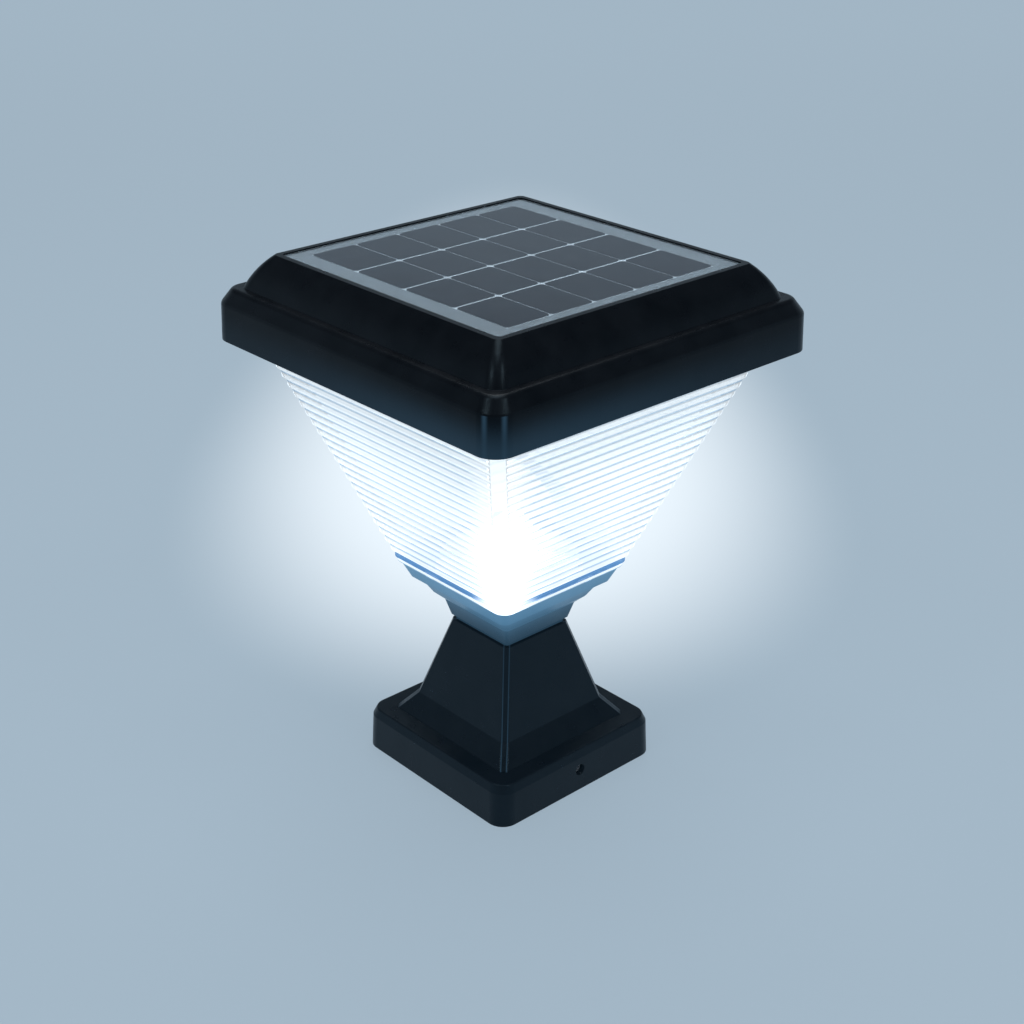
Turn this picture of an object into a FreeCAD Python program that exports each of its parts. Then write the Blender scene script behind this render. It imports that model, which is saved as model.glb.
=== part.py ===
"""Solar deck post cap light: a square lamp head on a pedestal and a cap that fits over a post.

Millimetres, +Z up. The origin is the centre of the cap's bottom edge. The light's faces look along X and Y.
"""

import FreeCAD, Part
import math
import os
import re

import Sketcher

V = FreeCAD.Vector
ROUGH = 10.0  # where a sketch's lines start, before its dimensions move them

# ---------------------------------------------------------------------------------------------
# Driving dimensions
# ---------------------------------------------------------------------------------------------
SIZES = {
    # base cap, which drops over the post
    "post_half": 44.5,  # a nominal 4x4 post
    "post_gap": 0.7,  # between the post and the locating fins
    "fin_deep": 5.8,
    "base_draft": 0.7,  # how much narrower it is where the bevel starts
    "base_round": 9.0,  # plan radius of its corners
    "base_tall": 22.5,
    "base_bevel_tall": 4.2,
    "base_bevel_wide": 1.8,
    "base_wall": 3.0,
    "base_plate": 3.0,
    "base_ledge_wide": 8.9,  # flat top between the bevel and the pedestal's foot
    "fin_thick": 2.0,
    "fin_rise": 2.0,
    "fin_spread": 30.0,
    "seat_rib_deep": 3.0,
    "seat_rib_at": 14.0,
    # set screws through the base cap's sides
    "set_screw_level": 11.5,
    "set_screw_rad": 2.5,
    "set_screw_long": 6.0,
    "set_screw_hole_rad": 3.0,
    "set_screw_tip_gap": 0.1,
    "set_screw_socket_deep": 2.0,
    "nut_flat_half": 4.0,
    "nut_thick": 3.2,
    "nut_from_socket": 1.1,
    "nut_gap": 0.1,
    "nut_boss_wall": 3.0,
    # pedestal
    "pedestal_tall": 54.0,
    "pedestal_flare_wide": 8.0,
    "pedestal_flare_tall": 10.0,
    "pedestal_head_half": 21.5,
    "pedestal_wall": 2.6,
    "pedestal_plate": 3.0,
    "pedestal_corner": 2.8,  # width of the narrow flat down each corner
    "pedestal_screw_at": 24.0,
    # neck between the pedestal and the shade
    "neck_tall": 33.5,
    "neck_spigot_half": 19.8,
    "neck_spigot_tall": 2.7,
    "neck_collar_half": 21.6,
    "neck_waist_half": 23.9,
    "neck_waist_rise": 11.3,
    "neck_step_half": 28.8,
    "neck_step_rise": 15.9,
    "neck_band_half": 31.8,
    "neck_band_rise": 21.0,
    "neck_shelf_half": 36.4,
    "neck_shelf_rise": 24.4,
    "neck_head_half": 40.6,
    "neck_wall": 3.0,
    "neck_web": 4.0,
    "neck_round": 4.0,
    "neck_screw_at": 12.0,
    # shade
    "shade_tall": 118.2,  # from the neck to the underside of the top flange
    "shade_foot_half": 40.9,
    "flange_wide": 10.0,  # how far the flange stands out from the shade's head
    "shade_wall": 2.4,
    "shade_floor": 2.6,
    "shade_round": 6.5,  # of the four slanted corners
    "shade_lip": 0.9,
    "shade_lip_tall": 1.2,
    "flange_thick": 2.4,
    "rib_count": 23,
    "rib_proud": 0.85,
    "rib_start": 5.2,
    "rib_top_gap": 2.6,
    "rib_end_gap": 4.8,  # smooth band between the ribs' ends and the corner
    "shade_screw_at": 15.0,
    # reflector on the shade's floor
    "reflector_rad": 34.0,
    "reflector_tip_rad": 5.0,
    "reflector_tall": 25.0,
    "reflector_wall": 1.8,
    "reflector_screw_long": 8.0,
    "reflector_well_spare": 0.6,
    "reflector_seat_gap": 0.4,
    "stud_wall": 2.0,
    # lid: a moulded cover, closed below by a tray
    "lid_half": 100.0,
    "lid_draft": 0.5,
    "lid_round": 10.5,
    "lid_wall": 2.6,
    "skirt_drop": 2.0,  # how far the cover's edge hangs below the shade's flange
    "fascia_tall": 18.1,
    "bevel_tall": 6.9,
    "bevel_wide": 4.6,
    "ledge_wide": 4.3,
    "roof_tall": 15.9,
    "roof_slope_wide": 12.2,
    "roof_bulge": 1.15,
    "roof_foot_round": 7.0,
    "roof_rim_round": 3.0,
    "roof_plate": 2.4,
    "lid_soften": 3.0,  # of the edges above and below the lid's bevel
    "base_soften": 0.8,
    "web_thick": 1.8,
    "web_deep": 3.0,
    "boss_rad": 3.6,
    "seal_thick": 1.0,
    "seal_wide": 4.0,
    "tray_thick": 2.0,
    "tray_gap": 0.3,
    "tray_skin": 0.6,  # left under the pilot holes in the tray
    "head_screw_inset": 4.8,  # from the flange's edge
    "head_screw_spread": 45.0,
    "head_screw_long": 18.0,
    # solar panel in the roof's recess
    "roof_rim_wide": 3.0,
    "panel_gap": 0.4,
    "panel_round": 1.5,
    "panel_set_down": 0.6,
    "adhesive_thick": 0.4,
    "backsheet_thick": 1.2,
    "solar_cell_thick": 0.3,
    "face_sheet_thick": 0.6,
    "cell_columns": 4,
    "cell_rows": 5,
    "cell_margin_across": 6.6,  # backsheet showing outside the cells
    "cell_margin_along": 11.0,
    "column_gap": 1.5,
    "row_gap": 0.8,
    "cell_corner": 1.2,
    "lead_hole_rad": 2.0,
    "lead_hole_at": 30.0,
    # lamp under the tray
    "led_board_half": 52.0,
    "led_board_thick": 1.6,
    "led_board_round": 3.0,
    "led_standoff": 3.0,
    "led_long": 3.5,
    "led_wide": 2.8,
    "led_tall": 1.0,
    "led_corner": 0.3,
    "led_rows": 5,
    "led_pitch": 20.0,
    "diffuser_half": 62.0,
    "diffuser_deep": 9.0,
    "diffuser_wall": 1.4,
    "diffuser_round": 8.0,
    "diffuser_soften": 1.2,
    "led_screw_at": 48.0,
    # battery and control board on the tray
    "battery_rad": 9.15,
    "battery_long": 65.0,
    "battery_at": -34.0,
    "battery_nub_tall": 1.0,
    "battery_end_room": 2.6,
    "battery_gap": 0.2,
    "holder_wall": 1.5,
    "holder_floor": 1.5,
    "holder_grip": 11.0,
    "contact_thick": 0.4,
    "contact_gap": 0.5,
    "board_long": 62.0,
    "board_wide": 40.0,
    "board_thick": 1.6,
    "board_at": 22.0,
    "board_standoff": 5.0,
    "board_screw_inset": 4.0,
    "controller_long": 10.0,
    "controller_wide": 6.0,
    "controller_tall": 1.6,
    "inductor_half": 3.5,
    "inductor_tall": 4.0,
    "connector_long": 5.0,
    "connector_wide": 10.0,
    "connector_tall": 6.0,
    "capacitor_rad": 3.0,
    "capacitor_tall": 8.0,
    # power switch at the back of the lid's underside
    "switch_half": 4.2,
    "switch_tall": 8.5,
    "button_rad": 3.1,
    "button_gap": 0.4,
    "button_proud": 1.4,
    "button_travel": 1.2,
    "button_soften": 0.6,
    "plunger_rad": 1.4,
    "plunger_reach": 1.6,
    "switch_spare": 0.8,
    "bezel_rad": 4.6,
    "bezel_thick": 1.1,
    # screws and clearances
    "screw_rad": 1.5,
    "screw_head_rad": 2.8,
    "screw_head_tall": 1.7,
    "big_screw_rad": 2.0,
    "big_head_rad": 3.6,
    "big_head_tall": 2.3,
    "big_screw_long": 14.0,
    "big_post_rad": 4.3,
    "hole_gap": 0.3,
    "thread_gap": 0.05,
    "pilot_spare": 0.5,  # how much deeper a pilot hole is than its screw
}

# Sizes worked out from the post that the light stands on, or from the lid
WORKED_OUT = {
    "socket_half": "post_half + post_gap",
    "base_half": "socket_half + fin_deep + base_wall",
    "pedestal_foot_half": "base_half - base_draft - base_bevel_wide - base_ledge_wide",
    "pedestal_waist_half": "pedestal_foot_half - pedestal_flare_wide",
    "flange_half": "lid_half - lid_draft - lid_wall - tray_gap",
    "flange_round": "lid_round - lid_wall",
    "shade_head_half": "flange_half - flange_wide",
    "rib_pitch": "(shade_tall - rib_start - rib_top_gap) / rib_count",
    "head_screw_at": "flange_half - head_screw_inset",
    "switch_at": "head_screw_at",
    "roof_foot_half": "lid_half - lid_draft - bevel_wide - ledge_wide",
    "roof_rim_half": "roof_foot_half - roof_slope_wide",
    "panel_half": "roof_rim_half - roof_rim_wide - panel_gap",
    "column_pitch": "2 * (panel_half - cell_margin_across) / cell_columns",
    "row_pitch": "2 * (panel_half - cell_margin_along) / cell_rows",
    "panel_stack": "panel_set_down + face_sheet_thick + solar_cell_thick + backsheet_thick + adhesive_thick",
    "battery_level": "holder_floor + battery_rad + battery_gap / 2",
    "battery_room_half": "battery_long / 2 + battery_end_room",
}
NAME = r"[a-z][a-z_]+"

# Levels, each stacked on the one below it
PEDESTAL_FOOT = "base_tall"
NECK_FOOT = "base_tall + pedestal_tall"
SHADE_FOOT = f"{NECK_FOOT} + neck_tall"
FLANGE = f"{SHADE_FOOT} + shade_tall"
SEAL = f"{FLANGE} + flange_thick"
TRAY = f"{SEAL} + seal_thick"
TRAY_TOP = f"{TRAY} + tray_thick"
LID_EDGE = f"{FLANGE} - skirt_drop"
BEVEL = f"{LID_EDGE} + fascia_tall"
LEDGE = f"{BEVEL} + bevel_tall"
ROOF_TOP = f"{LEDGE} + roof_tall"
FACE_TOP = f"{ROOF_TOP} - panel_set_down"
CELL_TOP = f"{FACE_TOP} - face_sheet_thick"
BACKSHEET_TOP = f"{CELL_TOP} - solar_cell_thick"
ADHESIVE_TOP = f"{BACKSHEET_TOP} - backsheet_thick"
RECESS = f"{ADHESIVE_TOP} - adhesive_thick"
LED_BOARD_TOP = f"{TRAY} - led_standoff"
LED_BOARD = f"{LED_BOARD_TOP} - led_board_thick"
SHADE_LEAN = "(shade_head_half - shade_foot_half) / shade_tall"
SCREW_PILOT = "screw_rad + thread_gap"
BIG_PILOT = "big_screw_rad + thread_gap"

doc = FreeCAD.newDocument("deck_post_cap_light")
sheet = doc.addObject("Spreadsheet::Sheet", "sizes")
for row, (alias, number) in enumerate(SIZES.items(), start=1):
    sheet.set(f"A{row}", alias)
    sheet.set(f"B{row}", str(number))
    sheet.setAlias(f"B{row}", alias)
doc.recompute()

pieces = []


# ---------------------------------------------------------------------------------------------
# Helpers: expressions, sketches and features
# ---------------------------------------------------------------------------------------------
def spelled_out(text):
    """Puts the formula of each worked-out size in place of its name."""
    while any(word in WORKED_OUT for word in re.findall(NAME, text)):
        text = re.sub(NAME, lambda word: f"({WORKED_OUT[word[0]]})" if word[0] in WORKED_OUT else word[0], text)
    return text


def tied(text):
    """Turns a formula that uses the sizes' names into one that reads them from the sheet."""
    return re.sub(NAME, lambda word: f"sizes.{word[0]}" if word[0] in SIZES else word[0], spelled_out(text))


def bind(thing, prop, formula):
    thing.setExpression(prop, tied(formula))


def new_body(name):
    body = doc.addObject("PartDesign::Body", name)
    body.Label = name
    pieces.append(body)
    return body


def origin_of(body, role):
    return next(feature for feature in body.Origin.OriginFeatures if feature.Role == role)


def new_sketch(body, name, plane="XY_Plane", level="0", shift=("0", "0")):
    sketch = body.newObject("Sketcher::SketchObject", name)
    sketch.AttachmentSupport = [(origin_of(body, plane), "")]
    sketch.MapMode = "FlatFace"
    for axis, formula in zip("xyz", (*shift, level)):
        bind(sketch, f"AttachmentOffset.Base.{axis}", formula)
    return sketch


def drive(sketch, constraint, formula):
    """Adds a dimension whose value follows a formula."""
    index = sketch.addConstraint(constraint)
    bind(sketch, f"Constraints[{index}]", formula)


def square(body, name, half, corner, level, half_y=None, cut=False, shift=("0", "0")):
    """A square or oblong about the origin with rounded corners, or with straight cut ones."""
    sketch = new_sketch(body, name, level=level, shift=shift)
    start, radius = ROUGH, ROUGH / 5
    flat = start - radius
    quarter = math.pi / 2
    sides = [((-flat, -start), (flat, -start)), ((start, -flat), (start, flat))]
    sides += [((flat, start), (-flat, start)), ((-start, flat), (-start, -flat))]
    for first, last in sides:
        sketch.addGeometry(Part.LineSegment(V(*first, 0), V(*last, 0)), False)
    for turn, (x, y) in enumerate(((1, -1), (1, 1), (-1, 1), (-1, -1))):
        if cut:
            corner_edge = Part.LineSegment(V(*sides[turn][1], 0), V(*sides[(turn + 1) % 4][0], 0))
        else:
            circle = Part.Circle(V(x * flat, y * flat, 0), V(0, 0, 1), radius)
            corner_edge = Part.ArcOfCircle(circle, (turn - 1) * quarter, turn * quarter)
        sketch.addGeometry(corner_edge, False)
    join = "Coincident" if cut else "Tangent"
    rules = []
    for side in range(4):
        rules.append(Sketcher.Constraint(join, side, 2, 4 + side, 1))
        rules.append(Sketcher.Constraint(join, 4 + side, 2, (side + 1) % 4, 1))
        if cut:
            rules.append(Sketcher.Constraint("Symmetric", side, 1, side, 2, -1 if side % 2 else -2))
        else:
            rules.append(Sketcher.Constraint("Vertical" if side % 2 else "Horizontal", side))
    if cut:
        rules.append(Sketcher.Constraint("Symmetric", 0, 1, 2, 1, -1, 1))
        rules.append(Sketcher.Constraint("Symmetric", 1, 1, 3, 1, -1, 1))
    else:
        rules += [Sketcher.Constraint("Equal", arc, arc + 1) for arc in (4, 5, 6)]
        rules.append(Sketcher.Constraint("Symmetric", 4, 3, 6, 3, -1, 1))
    sketch.addConstraint(rules)
    drive(sketch, Sketcher.Constraint("DistanceX", 3, 1, 1, 1, 2 * start), f"2 * ({half})")
    drive(sketch, Sketcher.Constraint("DistanceY", 0, 1, 2, 1, 2 * start), f"2 * ({half_y or half})")
    if cut:
        drive(sketch, Sketcher.Constraint("DistanceX", 0, 2, 1, 1, radius), corner)
        drive(sketch, Sketcher.Constraint("DistanceY", 0, 2, 1, 1, radius), corner)
    else:
        drive(sketch, Sketcher.Constraint("Radius", 4, radius), corner)
    return sketch


def outline(body, name, points, plane="XY_Plane", level="0"):
    """A closed outline of straight edges; each point is a pair of formulas."""
    sketch = new_sketch(body, name, plane, level)
    count = len(points)
    turns = [2 * math.pi * k / count for k in range(count)]
    rough = [V(ROUGH * math.cos(turn), ROUGH * math.sin(turn), 0) for turn in turns]
    for k in range(count):
        sketch.addGeometry(Part.LineSegment(rough[k], rough[(k + 1) % count]), False)
    for k in range(count):
        sketch.addConstraint(Sketcher.Constraint("Coincident", k, 2, (k + 1) % count, 1))
    for k, (across, along) in enumerate(points):
        drive(sketch, Sketcher.Constraint("DistanceX", -1, 1, k, 1, rough[k].x), across)
        drive(sketch, Sketcher.Constraint("DistanceY", -1, 1, k, 1, rough[k].y), along)
    return sketch


def oblong(body, name, x_low, x_high, y_low, y_high, plane="XY_Plane", level="0"):
    corners = [(x_low, y_low), (x_high, y_low), (x_high, y_high), (x_low, y_high)]
    return outline(body, name, corners, plane, level)


def discs(body, name, places, radius, plane="XY_Plane", level="0"):
    """One circle at each place; a place is a pair of formulas."""
    sketch = new_sketch(body, name, plane, level)
    for k, (across, along) in enumerate(places):
        sketch.addGeometry(Part.Circle(V(ROUGH * k, ROUGH, 0), V(0, 0, 1), 1), False)
        drive(sketch, Sketcher.Constraint("DistanceX", -1, 1, k, 3, ROUGH * k), across)
        drive(sketch, Sketcher.Constraint("DistanceY", -1, 1, k, 3, ROUGH), along)
        drive(sketch, Sketcher.Constraint("Radius", k, 1), radius)
    return sketch


def pad(body, sketch, length, both_ways=False, down=False):
    feature = body.newObject("PartDesign::Pad", f"{sketch.Name}_pad")
    feature.Profile = sketch
    feature.Midplane = both_ways
    feature.Reversed = down
    bind(feature, "Length", length)
    return feature


def pocket(body, sketch, length, upward=False, both_ways=False):
    """Cuts down from the sketch, or upward; part.py stops if nothing was cut."""
    doc.recompute()
    before = body.Shape.Volume
    feature = body.newObject("PartDesign::Pocket", f"{sketch.Name}_pocket")
    feature.Profile = sketch
    feature.Midplane = both_ways
    feature.Reversed = upward
    bind(feature, "Length", length)
    doc.recompute()
    if body.Shape.Volume > before - 1e-6:
        raise ValueError(f"{body.Label}: {feature.Name} cuts nothing")
    return feature


def loft(body, name, sections, cut=False, ruled=True):
    """A loft through squares; each section is (half width, corner, level)."""
    sketches = [square(body, f"{name}_{k}", *section) for k, section in enumerate(sections)]
    return loft_through(body, name, sketches, cut, ruled)


def loft_through(body, name, sketches, cut=False, ruled=True):
    kind = "PartDesign::SubtractiveLoft" if cut else "PartDesign::AdditiveLoft"
    feature = body.newObject(kind, name)
    feature.Profile = sketches[0]
    feature.Sections = sketches[1:]
    feature.Ruled = ruled
    return feature


def frustum(body, name, low_half, low, high_half, high, cut=False):
    """A square pyramid's slice between two levels."""
    feature = body.newObject("PartDesign::SubtractiveWedge" if cut else "PartDesign::AdditiveWedge", name)
    feature.AttachmentSupport = [(origin_of(body, "XZ_Plane"), "")]
    feature.MapMode = "FlatFace"
    for end, half in (("", low_half), ("2", high_half)):
        for axis in "XZ":
            bind(feature, f"{axis}{end}min", f"-({half})")
            bind(feature, f"{axis}{end}max", half)
    bind(feature, "Ymin", low)
    bind(feature, "Ymax", high)
    return feature


def is_slanted(edge):
    """True for an edge that climbs along a diagonal of the plan for more than 5 mm."""
    box = edge.BoundBox
    return min(box.XLength, box.YLength, box.ZLength) > 5 and abs(box.XLength - box.YLength) < 1e-4


def turned(body, name, points, level="0"):
    """Turns an outline about its first edge; the points are (x, z) formulas."""
    sketch = outline(body, name, points, "XZ_Plane", level)
    feature = body.newObject("PartDesign::Revolution", f"{name}_turn")
    feature.Profile = sketch
    feature.ReferenceAxis = (sketch, ["Edge1"])
    feature.Angle = 360
    return feature


def turn_copies(body, feature, count):
    """Copies a feature round the Z axis."""
    pattern = body.newObject("PartDesign::PolarPattern", f"{feature.Name}_ring")
    pattern.Originals = [feature]
    pattern.Axis = (origin_of(body, "Z_Axis"), [""])
    pattern.Angle = 360
    pattern.Occurrences = count
    body.Tip = pattern
    return pattern


def copies(body, feature, *steps):
    """Copies a feature by several transformations, one after another."""
    pattern = body.newObject("PartDesign::MultiTransform", f"{feature.Name}_copies")
    pattern.Originals = [feature]
    pattern.Transformations = list(steps)
    body.Tip = pattern
    return pattern


def step_line(body, name, axis, length, count):
    step = doc.addObject("PartDesign::LinearPattern", name)
    body.addObject(step)
    step.Direction = (origin_of(body, axis), [""])
    bind(step, "Length", length)
    bind(step, "Occurrences", count)
    return step


def step_turn(body, name, count):
    step = doc.addObject("PartDesign::PolarPattern", name)
    body.addObject(step)
    step.Axis = (origin_of(body, "Z_Axis"), [""])
    step.Angle = 360
    step.Occurrences = count
    return step


def step_mirror(body, name, plane):
    step = doc.addObject("PartDesign::Mirrored", name)
    body.addObject(step)
    step.MirrorPlane = (origin_of(body, plane), [""])
    return step


def soften(body, name, radius, wanted):
    """Rounds the edges of the body for which wanted(edge) is true."""
    doc.recompute()
    tip = body.Tip
    edges = [f"Edge{k}" for k, edge in enumerate(tip.Shape.Edges, start=1) if wanted(edge)]
    feature = body.newObject("PartDesign::Fillet", name)
    feature.Base = (tip, edges)
    bind(feature, "Radius", radius)
    return feature


def size(formula):
    """The present value of a plain sum of sizes, for picking edges by their place."""
    total = 0.0
    for sign, word in re.findall(rf"([+-]?)[\s(]*({NAME})", spelled_out(formula)):
        total += (-1 if sign == "-" else 1) * float(sheet.get(word))
    return total


def reach(edge):
    """How far the edge goes from the axis, along X or Y."""
    box = edge.BoundBox
    return max(abs(box.XMin), abs(box.XMax), abs(box.YMin), abs(box.YMax))


def flat_at(edge, level):
    box = edge.BoundBox
    return abs(box.ZMin - level) < 1e-4 and abs(box.ZMax - level) < 1e-4


def corners(at, across=None):
    """The four places at (+-at, +-across)."""
    across = across or at
    return [(f"{a}({at})", f"{b}({across})") for a in ("", "-") for b in ("", "-")]


def head_screw_places():
    return corners("head_screw_at", "head_screw_spread") + corners("head_screw_spread", "head_screw_at")


def screw(name, at, seat, length, upward, big=False, spread="0", pairs=False):
    """Pan-head screws in a ring of four, or eight in pairs; the head bears on the seat."""
    rad = "big_screw_rad" if big else "screw_rad"
    head_rad = "big_head_rad" if big else "screw_head_rad"
    head_tall = "big_head_tall" if big else "screw_head_tall"
    way, back = ("+", "-") if upward else ("-", "+")
    body = new_body(name)
    tip = f"{seat} {way} ({length})"
    top = f"{seat} {back} {head_tall}"
    shank = turned(body, f"{name}_profile", [
        (at, top),
        (at, tip),
        (f"{at} + {rad}", tip),
        (f"{at} + {rad}", seat),
        (f"{at} + {head_rad}", seat),
        (f"{at} + {head_rad} * 0.8", top),
    ], level=f"-({spread})")
    doc.recompute()
    if pairs:
        steps = [step_mirror(body, f"{name}_mirror", "XZ_Plane"), step_turn(body, f"{name}_round", 4)]
        copies(body, shank, *steps)
    else:
        turn_copies(body, shank, 4)
        body.Placement = FreeCAD.Placement(V(0, 0, 0), FreeCAD.Rotation(V(0, 0, 1), 45))
    return body


def on_diagonal(at):
    """How far from the axis a screw stands that is (at, at) from it."""
    return f"({at}) * {math.sqrt(2)}"


# ---------------------------------------------------------------------------------------------
# Base cap and its clamping screws
# ---------------------------------------------------------------------------------------------
def base_cap():
    body = new_body("base_cap")
    bevel = "base_tall - base_bevel_tall"
    loft(body, "base_outside", [
        ("base_half", "base_round", "0"),
        ("base_half - base_draft", "base_round", bevel),
        ("base_half - base_draft - base_bevel_wide", "base_round - base_bevel_wide / 2", "base_tall"),
    ])
    inside = square(body, "base_inside", "base_half - base_wall", "base_round - base_wall", "0")
    pocket(body, inside, "base_tall - base_plate", upward=True)

    # fins that centre the post, two on each wall
    fin_top = "base_tall - base_plate"
    fin = oblong(body, "fin", "socket_half", "base_half - base_wall / 2", "fin_rise", fin_top,
                 "XZ_Plane", "fin_spread - fin_thick / 2")
    fin_pad = pad(body, fin, "fin_thick")
    doc.recompute()
    copies(body, fin_pad, step_mirror(body, "fin_mirror", "XZ_Plane"), step_turn(body, "fin_round", 4))

    # ribs under the plate, on which the post's end bears
    rib = oblong(body, "seat_rib", "seat_rib_at - fin_thick / 2", "seat_rib_at + fin_thick / 2",
                 "-(base_half - base_wall / 2)", "base_half - base_wall / 2", level=f"{fin_top} - seat_rib_deep")
    rib_pad = pad(body, rib, "seat_rib_deep")
    doc.recompute()
    turn_copies(body, rib_pad, 4)

    # bosses that hold the set screws' nuts
    nut_low = "set_screw_level - nut_flat_half - nut_boss_wall * 0.8"
    boss = oblong(body, "nut_boss", "-(nut_flat_half + nut_boss_wall)", "nut_flat_half + nut_boss_wall", nut_low,
                  fin_top, "YZ_Plane", "socket_half + set_screw_tip_gap")
    boss_pad = pad(body, boss, "base_half - base_wall / 2 - socket_half")
    doc.recompute()
    turn_copies(body, boss_pad, 2)
    nut_room = oblong(body, "nut_room", "-(nut_flat_half + nut_gap)", "nut_flat_half + nut_gap", nut_low,
                      "set_screw_level + nut_flat_half + nut_gap", "YZ_Plane",
                      "socket_half + nut_from_socket + nut_thick + nut_gap")
    nut_cut = pocket(body, nut_room, "nut_thick + 2 * nut_gap")
    turn_copies(body, nut_cut, 2)
    hole = discs(body, "set_screw_hole", [("0", "set_screw_level")], "set_screw_hole_rad", "YZ_Plane")
    pocket(body, hole, "3 * base_half", both_ways=True)

    screws = discs(body, "pedestal_screw_holes", corners("pedestal_screw_at"), "big_screw_rad + hole_gap",
                   level="base_tall")
    pocket(body, screws, "base_plate")
    rim, ledge = size("base_tall"), size("pedestal_foot_half")
    soften(body, "base_edges", "base_soften", lambda edge: flat_at(edge, rim) and reach(edge) > ledge)


def set_screws():
    """One clamping screw and one nut on each side, and the left ones are the right ones turned."""
    for side, turn in (("right", 0), ("left", 180)):
        body = new_body(f"set_screw_{side}")
        tip = "socket_half + set_screw_tip_gap"
        tail = f"{tip} + set_screw_long"
        profile = outline(body, f"set_screw_{side}_profile", [
            (f"{tail} - set_screw_socket_deep", "set_screw_level"),
            (tip, "set_screw_level"),
            (tip, "set_screw_level + set_screw_rad * 0.55"),
            (f"{tip} + set_screw_rad * 0.45", "set_screw_level + set_screw_rad"),
            (f"{tail} - set_screw_rad * 0.15", "set_screw_level + set_screw_rad"),
            (tail, "set_screw_level + set_screw_rad * 0.85"),
            (tail, "set_screw_level + set_screw_rad * 0.5"),
            (f"{tail} - set_screw_socket_deep * 0.85", "set_screw_level + set_screw_rad * 0.5"),
        ], "XZ_Plane")
        feature = body.newObject("PartDesign::Revolution", f"set_screw_{side}_turn")
        feature.Profile = profile
        feature.ReferenceAxis = (profile, ["Edge1"])
        feature.Angle = 360
        body.Placement = FreeCAD.Placement(V(0, 0, 0), FreeCAD.Rotation(V(0, 0, 1), turn))

    nuts = new_body("set_screw_nuts")
    across = oblong(nuts, "nut", "-nut_flat_half", "nut_flat_half", "set_screw_level - nut_flat_half",
                    "set_screw_level + nut_flat_half", "YZ_Plane", "socket_half + nut_from_socket")
    block = pad(nuts, across, "nut_thick")
    doc.recompute()
    turn_copies(nuts, block, 2)
    bore = discs(nuts, "nut_bore", [("0", "set_screw_level")], "set_screw_rad + thread_gap", "YZ_Plane")
    pocket(nuts, bore, "3 * base_half", both_ways=True)


# ---------------------------------------------------------------------------------------------
# Pedestal and neck
# ---------------------------------------------------------------------------------------------
def pedestal():
    body = new_body("pedestal")
    flare = f"{PEDESTAL_FOOT} + pedestal_flare_tall"

    def stage(name, sections, cut=False):
        sketches = []
        for k, (half, corner, level) in enumerate(sections):
            sketches.append(square(body, f"{name}_{k}", half, corner, level, cut=True))
        loft_through(body, name, sketches, cut)

    stage("pedestal_outside", [
        ("pedestal_foot_half", "pedestal_corner", PEDESTAL_FOOT),
        ("pedestal_waist_half", "pedestal_corner", flare),
        ("pedestal_head_half", "pedestal_corner * 0.8", NECK_FOOT),
    ])
    lean = "(pedestal_waist_half - pedestal_head_half) / (pedestal_tall - pedestal_flare_tall)"
    stage("pedestal_inside", [
        ("pedestal_foot_half - pedestal_wall", "pedestal_corner", PEDESTAL_FOOT),
        ("pedestal_waist_half - pedestal_wall", "pedestal_corner", flare),
        (f"pedestal_head_half - pedestal_wall + pedestal_plate * {lean}", "pedestal_corner * 0.8",
         f"{NECK_FOOT} - pedestal_plate"),
    ], cut=True)
    # the screw posts run up until the sloping walls close on them
    post = "pedestal_screw_at + big_post_rad"
    posts = discs(body, "pedestal_posts", corners("pedestal_screw_at"), "big_post_rad", level=PEDESTAL_FOOT)
    pad(body, posts, f"pedestal_flare_tall + (pedestal_waist_half - ({post}) - hole_gap) / ({lean})")
    pilots = discs(body, "pedestal_pilots", corners("pedestal_screw_at"), BIG_PILOT, level=PEDESTAL_FOOT)
    pocket(body, pilots, "big_screw_long - base_plate + pilot_spare", upward=True)
    holes = discs(body, "neck_screw_holes", corners("neck_screw_at"), "big_screw_rad + hole_gap", level=NECK_FOOT)
    pocket(body, holes, "pedestal_plate")


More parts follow.
